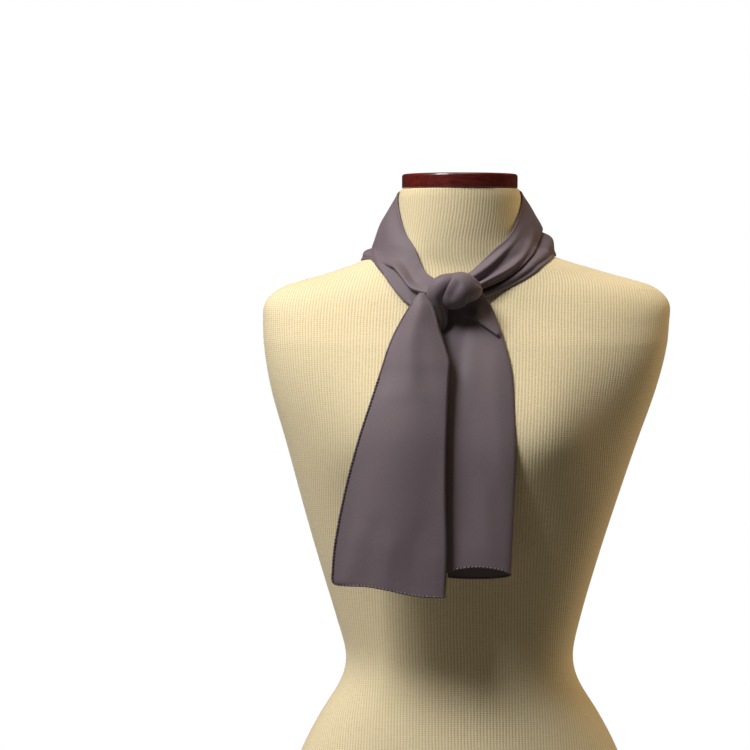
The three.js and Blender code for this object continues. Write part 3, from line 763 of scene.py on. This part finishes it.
def makeFrontTail():
    size = frontTail
    rows = np.linspace(0, 1, size["along"])
    down, run = np.meshgrid(rows, np.linspace(0, 1, size["across"]), indexing="ij")
    points, s = frontTailPoints(down, run)
    uv = np.stack([s, lengths(points, 0)], axis=-1)
    piece = sheetPiece("front_tail_cloth", points, uv)
    thicken(piece, size["thick"])
    finishPiece(piece, satin, "silk", "front_tail")
    return piece, points


backTail = {
    "along": 200, "around": 170, "drop": 9, "rise": 3.2, "hemsAt": -1.0, "hemsApart": 0.04, "thick": 0.45,
    "squareX": 0.9, "squareY": 0.8, "clear": 1.3,
    # the pleat under the knot: from and to (x, z), height, width of the climb and of the drop
    "pleat": [(6, 719.5), (34, 699.5), 5.0, 15, 1.2],
    "z": [740, 727, 712, 695, 665, 630, 590, 540, 500, 479],
    "left": [-28, -28, -27, -25, -23, -22, -21, -21, -21, -20.5],
    "right": [19.5, 28, 34, 39.5, 46.5, 48.5, 49, 47.5, 45.5, 44.5],
    "y": [-84, -85, -87.8, -94, -105.5, -116, -124.5, -128.5, -131, -132],
    "deep": [2.2, 2.4, 3, 4, 4.5, 4.5, 4.5, 5, 5.5, 5.5],
}
backCreases = [
    # from and to: height and place across the front, then depth and width, all mm
    (716, 2, 660, -4, -1.4, 7),
    (690, 30, 560, 36, 0.8, 9), (640, 6, 500, 2, -0.8, 9), (560, 20, 485, 24, 0.6, 8),
]


def backTailPoints(down, turn):
    # a flat tube: a squarish ellipse at each height, its back hanging lower than its front
    size = backTail
    top, bottom = size["z"][0], size["z"][-1]
    z = top + (bottom - top) * down
    get = lambda name: column(size, "z", name, z)
    half = (get("right") - get("left")) / 2
    x = get("left") + half + half * power(np.sin(turn), size["squareX"])
    y = get("y") + get("deep") * power(np.cos(turn), size["squareY"])
    facing = np.clip(-np.cos(turn), 0, 1) ** 0.5
    y = y - facing * (crease(z, x, backCreases) + pleat(x, z, *size["pleat"]))
    low = down ** 2 * (0.5 + 0.5 * np.cos(turn)) * size["drop"]
    arch = 1 - ((x - get("left")) / half - 1) ** 2
    rise = size["rise"] * smooth((down - 0.85) / 0.15) * facing * arch
    return clearOfForm(np.stack([x, y, z - low + rise], axis=-1), size["clear"])


def makeBackTail():
    size = backTail
    turn = size["hemsAt"] + np.linspace(size["hemsApart"], 2 * np.pi - size["hemsApart"], size["around"])
    down, turn = np.meshgrid(np.linspace(0, 1, size["along"]), turn, indexing="ij")
    points = backTailPoints(down, turn)
    uv = np.stack([lengths(points, 1), lengths(points, 0)], axis=-1)
    piece = sheetPiece("back_tail_cloth", points, uv, flip=True)
    thicken(piece, size["thick"])
    finishPiece(piece, satin, "silk", "back_tail")
    return piece, points


# ---- hems ----

hem = {
    "radius": 0.95, "step": 1.2, "hemRow": 8, "stitchRow": 70, "faceShare": 0.71,
    "stitchEvery": 3.3, "stitchLong": 2.4, "stitchRadius": 0.42, "stitchSides": 5, "stitchRaise": 0.12,
    "stray": 0.3, "slant": 0.75, "slantStray": 0.15,
}


def resample(path, step):
    run = lengths(path[:, None], 0)[:, 0]
    at = np.linspace(0, run[-1], max(int(run[-1] / step), 2))
    return np.stack([np.interp(at, run, path[:, k]) for k in range(3)], axis=1)


def rolledHem(name, path):
    points, faces = tubeAlong(resample(path, hem["step"]), hem["radius"])
    piece = makeMesh(name, points, faces, np.stack([points[:, 0], points[:, 2]], axis=1))
    finishPiece(piece, satin, "silk")
    return piece


def whipStitches(name, path, outward, inward):
    # short slanted threads over the hem: each is a thin tube from the hem's inner side to its edge
    spots = resample(path, hem["stitchEvery"])
    along = unit(np.gradient(spots, axis=0))
    spots = spots + along * rng.uniform(-hem["stray"], hem["stray"], (len(spots), 1))
    half = hem["stitchLong"] / 2
    slant = half * (hem["slant"] + rng.uniform(-hem["slantStray"], hem["slantStray"], (len(spots), 1)))
    start = spots + inward * half - along * slant + outward * hem["radius"] * 0.75
    middle = spots + outward * (hem["radius"] + hem["stitchRaise"])
    end = spots - inward * half * 0.6 + along * slant * 0.6 + outward * hem["radius"] * 0.55
    parts, faces, count = [], [], 0
    for a, b, c in zip(start, middle, end):
        points, quads = tubeAlong(np.stack([a, b, c]), hem["stitchRadius"], hem["stitchSides"])
        parts.append(points)
        faces.append(quads + count)
        count += len(points)
    piece = makeMesh(name, np.concatenate(parts), np.concatenate(faces))
    finishPiece(piece, thread, "silk")
    return piece


front, frontGrid = makeFrontTail()
back, backGrid = makeBackTail()
print("tails made")

ahead = np.array([0.0, -1.0, 0.0])
right, up = np.array([1.0, 0, 0]), np.array([0, 0, 1.0])
faceColumns = int(frontTail["across"] * hem["faceShare"])
leftEdge = frontGrid[hem["stitchRow"]:, 0]
bottomEdge = frontGrid[-1, :faceColumns]
tubeEdge = backGrid[-1]
tubeFront = tubeEdge[tubeEdge[:, 1] < backTail["y"][-1]]
hems = [rolledHem("hem_front_side", frontGrid[hem["hemRow"]:, 0]), rolledHem("hem_front_end", frontGrid[-1]),
        rolledHem("hem_back_end", tubeEdge)]
stitches = [whipStitches("stitches_front_side", leftEdge, ahead, right),
            whipStitches("stitches_front_end", bottomEdge, ahead, up),
            whipStitches("stitches_back_end", tubeFront, ahead, up)]
print("hems made")


# ---- stage, light and camera ----

stage = {
    "floorRadius": 7.0, "floorSides": 96, "shadowFrom": 0.55, "shadowTo": 1.15,
    "floor": "#f2f1ee", "bounce": "#6f6d69", "fill": "#ffe6c4", "fillStrength": 0.03,
}
lampTarget = (0, 0, 0.6)
lamps = [
    # name, place and size in metres, watts, colour, and whether it shows in shiny surfaces
    ("key", (-1.65, -1.5, 3.35), (1.1, 1.1), 124, "#fffefa", True),
    ("side", (-2.4, -0.3, 3.0), (1.2, 1.2), 28, "#ffeede", False),
    ("top", (0.3, -0.4, 4.0), (1.6, 1.6), 28, "#ffe2b5", True),
    ("rim", (2.3, 1.2, 1.2), (1.0, 1.8), 38, "#ffe0b2", False),
]
# in mm: the camera's place, how wide a view it takes in at the form's middle, and how far its
# aim drops on the way there; sensor is its width
view = {"x": -84.3, "away": 2300, "z": 777, "wide": 750, "drop": 120, "sensor": 36}


def floorMaterial():
    # painted studio floor: pale and matt, turning to plain white away from the object
    material, tree, surface = newMaterial("studio floor, matt white paint")
    surface.inputs["Roughness"].default_value = 0.9
    place = node(tree, "TexCoord").outputs["Object"]
    far = node(tree, "VectorMath", {0: place}, operation="LENGTH").outputs["Value"]
    fade = node(tree, "MapRange", {"Value": far, "From Min": stage["shadowFrom"],
                                   "From Max": stage["shadowTo"]}).outputs[0]
    rays = node(tree, "LightPath").outputs["Is Camera Ray"]
    # the floor shows pale but throws little light back up, as under a flagged studio lamp
    paint = node(tree, "Mix", {"Factor": rays, 6: linear(stage["bounce"]), 7: linear(stage["floor"])},
                 data_type="RGBA").outputs[2]
    tree.links.new(paint, surface.inputs["Base Color"])
    white = node(tree, "Emission", {"Strength": 1.0})
    share = node(tree, "Math", {0: fade, 1: rays}, operation="MULTIPLY").outputs[0]
    mix = node(tree, "MixShader", {0: share, 1: surface.outputs[0], 2: white.outputs[0]})
    tree.links.new(mix.outputs[0], tree.nodes["Material Output"].inputs["Surface"])
    return material


def floorDisc():
    turn = np.linspace(0, 2 * np.pi, stage["floorSides"], endpoint=False)
    ring = np.stack([np.cos(turn), np.sin(turn), 0 * turn], axis=1) * stage["floorRadius"]
    mesh = bpy.data.meshes.new("floor")
    mesh.from_pydata(ring.tolist(), [], [list(range(stage["floorSides"]))])
    disc = bpy.data.objects.new("floor", mesh)
    disc.data.materials.append(floorMaterial())
    bpy.context.scene.collection.objects.link(disc)


def softbox(name, place, size, watts, colour, shine):
    # a rectangular lamp turned to face the target
    light = bpy.data.lights.new(name, "AREA")
    light.shape = "RECTANGLE"
    light.size, light.size_y = size
    light.energy = watts
    light.color = linear(colour)[:3]
    lamp = bpy.data.objects.new(name, light)
    lamp.location = place
    aim = np.array(lampTarget) - np.array(place)
    flat = math.hypot(aim[0], aim[1])
    lamp.rotation_euler = (math.atan2(flat, -aim[2]), 0, math.atan2(-aim[0], aim[1]))
    lamp.visible_glossy = shine
    bpy.context.scene.collection.objects.link(lamp)


def studio():
    # camera and transmission rays see a white world, and all others get a dim warm fill from it
    world = bpy.data.worlds.new("studio")
    bpy.context.scene.world = world
    world.use_nodes = True
    tree = world.node_tree
    tree.nodes.clear()
    rays = node(tree, "LightPath").outputs
    seen = node(tree, "Math", {0: rays["Is Camera Ray"], 1: rays["Is Transmission Ray"]},
                operation="MAXIMUM").outputs[0]
    white = node(tree, "Background", {"Color": linear("#ffffff"), "Strength": 1.0})
    dim = node(tree, "Background", {"Color": linear(stage["fill"]), "Strength": stage["fillStrength"]})
    mix = node(tree, "MixShader", {0: seen, 1: dim.outputs[0], 2: white.outputs[0]})
    node(tree, "OutputWorld", {"Surface": mix.outputs[0]})
    for row in lamps:
        softbox(*row)


def placeCamera():
    camera = bpy.data.cameras.new("camera")
    camera.sensor_width = view["sensor"]
    camera.lens = view["sensor"] * view["away"] / view["wide"]
    eye = bpy.data.objects.new("camera", camera)
    eye.location = (view["x"] * mm, -view["away"] * mm, view["z"] * mm)
    eye.rotation_euler = (math.pi / 2 - math.atan2(view["drop"], view["away"]), 0, 0)
    bpy.context.scene.collection.objects.link(eye)
    bpy.context.scene.camera = eye


floorDisc()
studio()
placeCamera()
bpy.context.scene.view_settings.view_transform = "Standard"
print("stage made")
